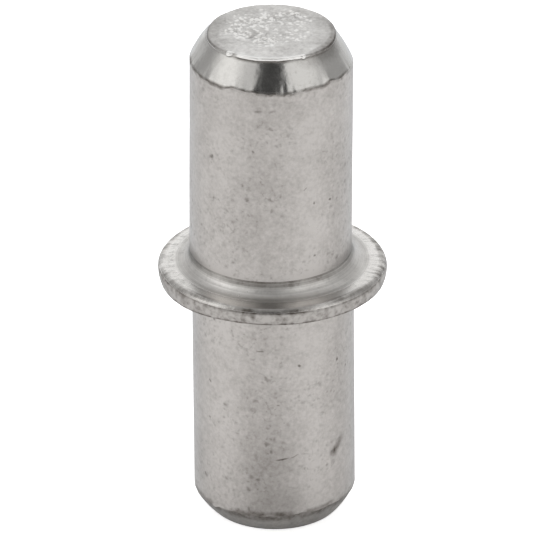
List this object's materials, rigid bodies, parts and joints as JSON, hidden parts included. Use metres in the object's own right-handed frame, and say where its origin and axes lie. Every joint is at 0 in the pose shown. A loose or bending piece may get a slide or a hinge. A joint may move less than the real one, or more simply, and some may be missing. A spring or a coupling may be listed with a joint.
{
  "type": "shelf support pin",
  "caption": "Round steel shelf support pin with a collar round its middle: the insert end pushes into a drilled cabinet side and the support end carries the shelf.",
  "frame": {"origin": "on the pin's axis, in the plane of the collar's seat, which lies against the cabinet side", "axes": "+Z along the pin's axis from the insert end to the support end; X and Y are any two directions across it"},
  "size_m": [0.007, 0.007, 0.016],
  "materials": {
    "plated_steel": "dull nickel-plated steel, tumbled, with fine pits, a burnished support chamfer and a rough rim"
  },
  "bodies": {
    "root": {"shelf_pin": "plated_steel"}
  },
  "joints": []
}
